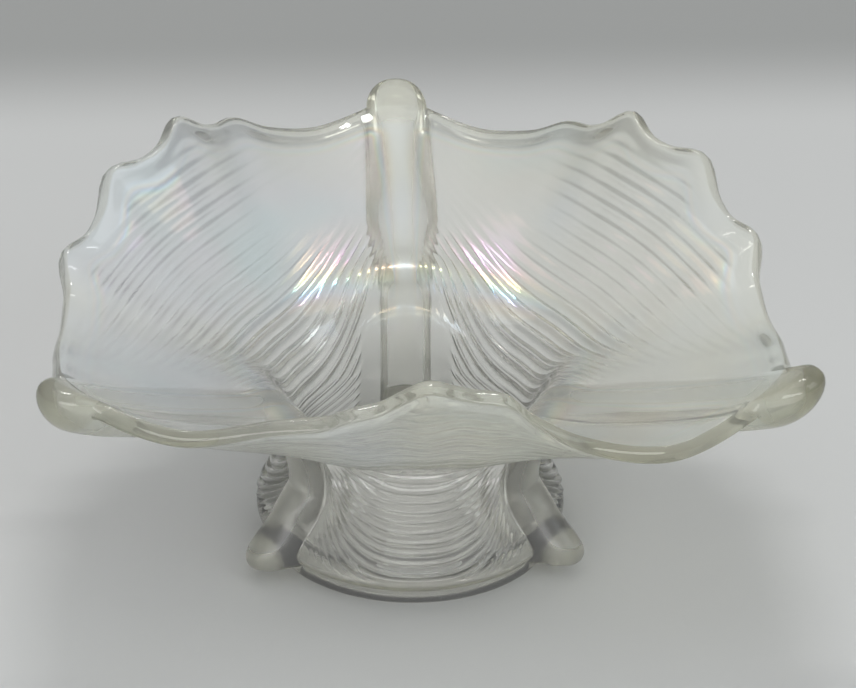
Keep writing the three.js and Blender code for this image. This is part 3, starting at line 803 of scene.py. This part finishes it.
def iridised_glass():
    """Pressed glass with pastel tints painted as its sheen: clear on the cup, satin on the flare, ribs and feet, glossy
    at the rim.
    """
    glass = bpy.data.materials.new("iridised_glass")
    glass.use_nodes = True
    tree = glass.node_tree
    nodes, links = tree.nodes, tree.links
    shader = nodes["Principled BSDF"]
    shader.inputs["IOR"].default_value = 1.5
    shader.inputs["Transmission Weight"].default_value = 0.84
    shader.inputs["Thin Film IOR"].default_value = 1.68
    place = nodes.new("ShaderNodeTexCoord").outputs["Object"]

    clouds = noise(tree, place, CLOUD_SCALE, CLOUD_DETAIL)
    apart = nodes.new("ShaderNodeSeparateXYZ")
    links.new(place, apart.inputs[0])
    drift = maths(tree, "MULTIPLY_ADD", apart.outputs["X"], PAINTED_SHEEN_DRIFT, clouds)
    # Painted sheen: pastel tints that shift with the clouds and from left to right
    painted_sheen = colour_ramp(tree, drift, PAINTED_SHEEN)

    def finish(label):
        node = nodes.new("ShaderNodeAttribute")
        node.attribute_name = label
        return node.outputs["Fac"]

    def tinted(first, second, share):
        node = nodes.new("ShaderNodeMix")
        node.data_type = "RGBA"
        links.new(share, node.inputs["Factor"])
        feed(links, node.inputs["A"], first)
        feed(links, node.inputs["B"], second)
        return node.outputs["Result"]

    # Base colour: clear, with the painted sheen's pastel tints on the flare and rim
    with_painted_sheen = tinted(CLEAR_TINT, painted_sheen.outputs["Color"], finish("flare"))
    # Smoke over the colour: the glass's own olive, with painted shade at the knobs and along the rim
    links.new(tinted(with_painted_sheen, SMOKE_AND_SHADE_TINT, finish("smoke")), shader.inputs["Base Color"])

    gloss = map_range(tree, finish("satin"), (0.0, 1.0), ROUGHNESS)
    links.new(gloss.outputs["Result"], shader.inputs["Roughness"])

    film = map_range(tree, clouds, CLOUD_RANGE, FILM_NANOMETRES)
    filmed = maths(tree, "MULTIPLY", film.outputs["Result"], finish("film"))
    links.new(filmed, shader.inputs["Thin Film Thickness"])

    wavy = nodes.new("ShaderNodeBump")
    wavy.inputs["Strength"].default_value = RIPPLE_STRENGTH
    wavy.inputs["Distance"].default_value = RIPPLE_DEPTH * MM
    links.new(noise(tree, place, RIPPLE_SCALE, RIPPLE_DETAIL), wavy.inputs["Height"])
    round_turn = 2.0 * math.pi / SWAG_PITCH
    turns = maths(tree, "MULTIPLY_ADD", finish("swag_level"), round_turn, math.pi - round_turn * LOWEST_SWAG)
    folds = maths(tree, "MULTIPLY", maths(tree, "COSINE", turns), finish("swag_sheen"))
    draped = nodes.new("ShaderNodeBump")
    draped.inputs["Distance"].default_value = SHEEN_DEPTH * MM
    links.new(folds, draped.inputs["Height"])
    links.new(wavy.outputs["Normal"], draped.inputs["Normal"])
    links.new(draped.outputs["Normal"], shader.inputs["Normal"])

    smoke = nodes.new("ShaderNodeVolumeAbsorption")
    smoke.inputs["Color"].default_value = SMOKE_COLOUR
    smoke.inputs["Density"].default_value = SMOKE_DENSITY
    links.new(smoke.outputs["Volume"], nodes["Material Output"].inputs["Volume"])
    return glass


def new_object(name, data):
    made = bpy.data.objects.new(name, data)
    bpy.context.scene.collection.objects.link(made)
    return made


def set_camera():
    """Camera at the photograph's angle, looking down on the dish from the front."""
    lift, swing, roll = (math.radians(value) for value in (CAMERA_LIFT, CAMERA_SWING, CAMERA_ROLL))
    back = Vector((math.sin(swing) * math.cos(lift), -math.cos(swing) * math.cos(lift), math.sin(lift)))
    level = Vector((math.cos(swing), math.sin(swing), 0.0))
    upright = back.cross(level)
    right = math.cos(roll) * level + math.sin(roll) * upright
    above = math.cos(roll) * upright - math.sin(roll) * level
    eye = (Vector(CAMERA_TARGET) + CAMERA_DISTANCE * back) * MM + RING_AXIS
    lens = bpy.data.cameras.new("camera")
    lens.sensor_width = 36.0
    lens.sensor_fit = "HORIZONTAL"
    lens.lens = lens.sensor_width * FOCAL_PIXELS / PICTURE_WIDTH
    lens.clip_start = 0.01
    camera = new_object("camera", lens)
    camera.matrix_world = Matrix((
        (right.x, above.x, back.x, eye.x), (right.y, above.y, back.y, eye.y),
        (right.z, above.z, back.z, eye.z), (0, 0, 0, 1),
    ))
    bpy.context.scene.camera = camera


def pale_paper_with_painted_shade():
    """Pale paper with a darker stretch of painted shade behind the dish."""
    paper = bpy.data.materials.new("pale_paper_with_painted_shade")
    paper.use_nodes = True
    tree = paper.node_tree
    shader = tree.nodes["Principled BSDF"]
    shader.inputs["Roughness"].default_value = 0.75
    shader.inputs["Specular IOR Level"].default_value = 0.2
    apart = tree.nodes.new("ShaderNodeSeparateXYZ")
    tree.links.new(tree.nodes.new("ShaderNodeTexCoord").outputs["Object"], apart.inputs[0])
    # Painted shade: the paper turns darker over a stretch behind the dish
    shade = colour_ramp(tree, apart.outputs["Y"], PAPER_WITH_PAINTED_SHADE)
    shade.color_ramp.interpolation = "EASE"
    tree.links.new(shade.outputs["Color"], shader.inputs["Base Color"])
    return paper


def pale_floor():
    mesh = bpy.data.meshes.new("pale_floor")
    corners = [(HALF_FLOOR * x, HALF_FLOOR * y, 0.0) for x, y in ((-1, -1), (1, -1), (1, 1), (-1, 1))]
    mesh.from_pydata(corners, [], [(0, 1, 2, 3)])
    mesh.materials.append(pale_paper_with_painted_shade())
    return new_object("pale_floor", mesh)


def soft_light(name, place, aim, size, watts, colour):
    lamp = bpy.data.lights.new(name, "AREA")
    lamp.shape = "RECTANGLE"
    lamp.size, lamp.size_y = size
    lamp.energy = watts
    lamp.color = colour
    light = new_object(name, lamp)
    light.location = place
    light.rotation_euler = (Vector(aim) - Vector(place)).to_track_quat("-Z", "Y").to_euler()


def room():
    """Surroundings that are pale overhead and darker at eye level."""
    world = bpy.data.worlds.new("room")
    world.use_nodes = True
    tree = world.node_tree
    apart = tree.nodes.new("ShaderNodeSeparateXYZ")
    tree.links.new(tree.nodes.new("ShaderNodeTexCoord").outputs["Generated"], apart.inputs[0])
    upward = map_range(tree, apart.outputs["Z"], (0.0, OVERHEAD_START), (0.0, 1.0))
    upward.interpolation_type = "SMOOTHSTEP"
    shade = tree.nodes.new("ShaderNodeMix")
    shade.data_type = "RGBA"
    shade.inputs["A"].default_value = EYE_LEVEL
    shade.inputs["B"].default_value = OVERHEAD
    tree.links.new(upward.outputs["Result"], shade.inputs["Factor"])
    tree.links.new(shade.outputs["Result"], tree.nodes["Background"].inputs["Color"])
    return world


def studio():
    bpy.context.scene.world = room()
    for light in LIGHTS:
        soft_light(*light)
    bpy.context.scene.view_settings.view_transform = "Standard"


set_camera()
glass = iridised_glass()
dish = new_object("pressed_glass_dish", skin_mesh("pressed_glass_dish", dish_rows()))
drape(dish, glass)
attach(dish, "root")
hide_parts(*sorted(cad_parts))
pale_floor()
studio()
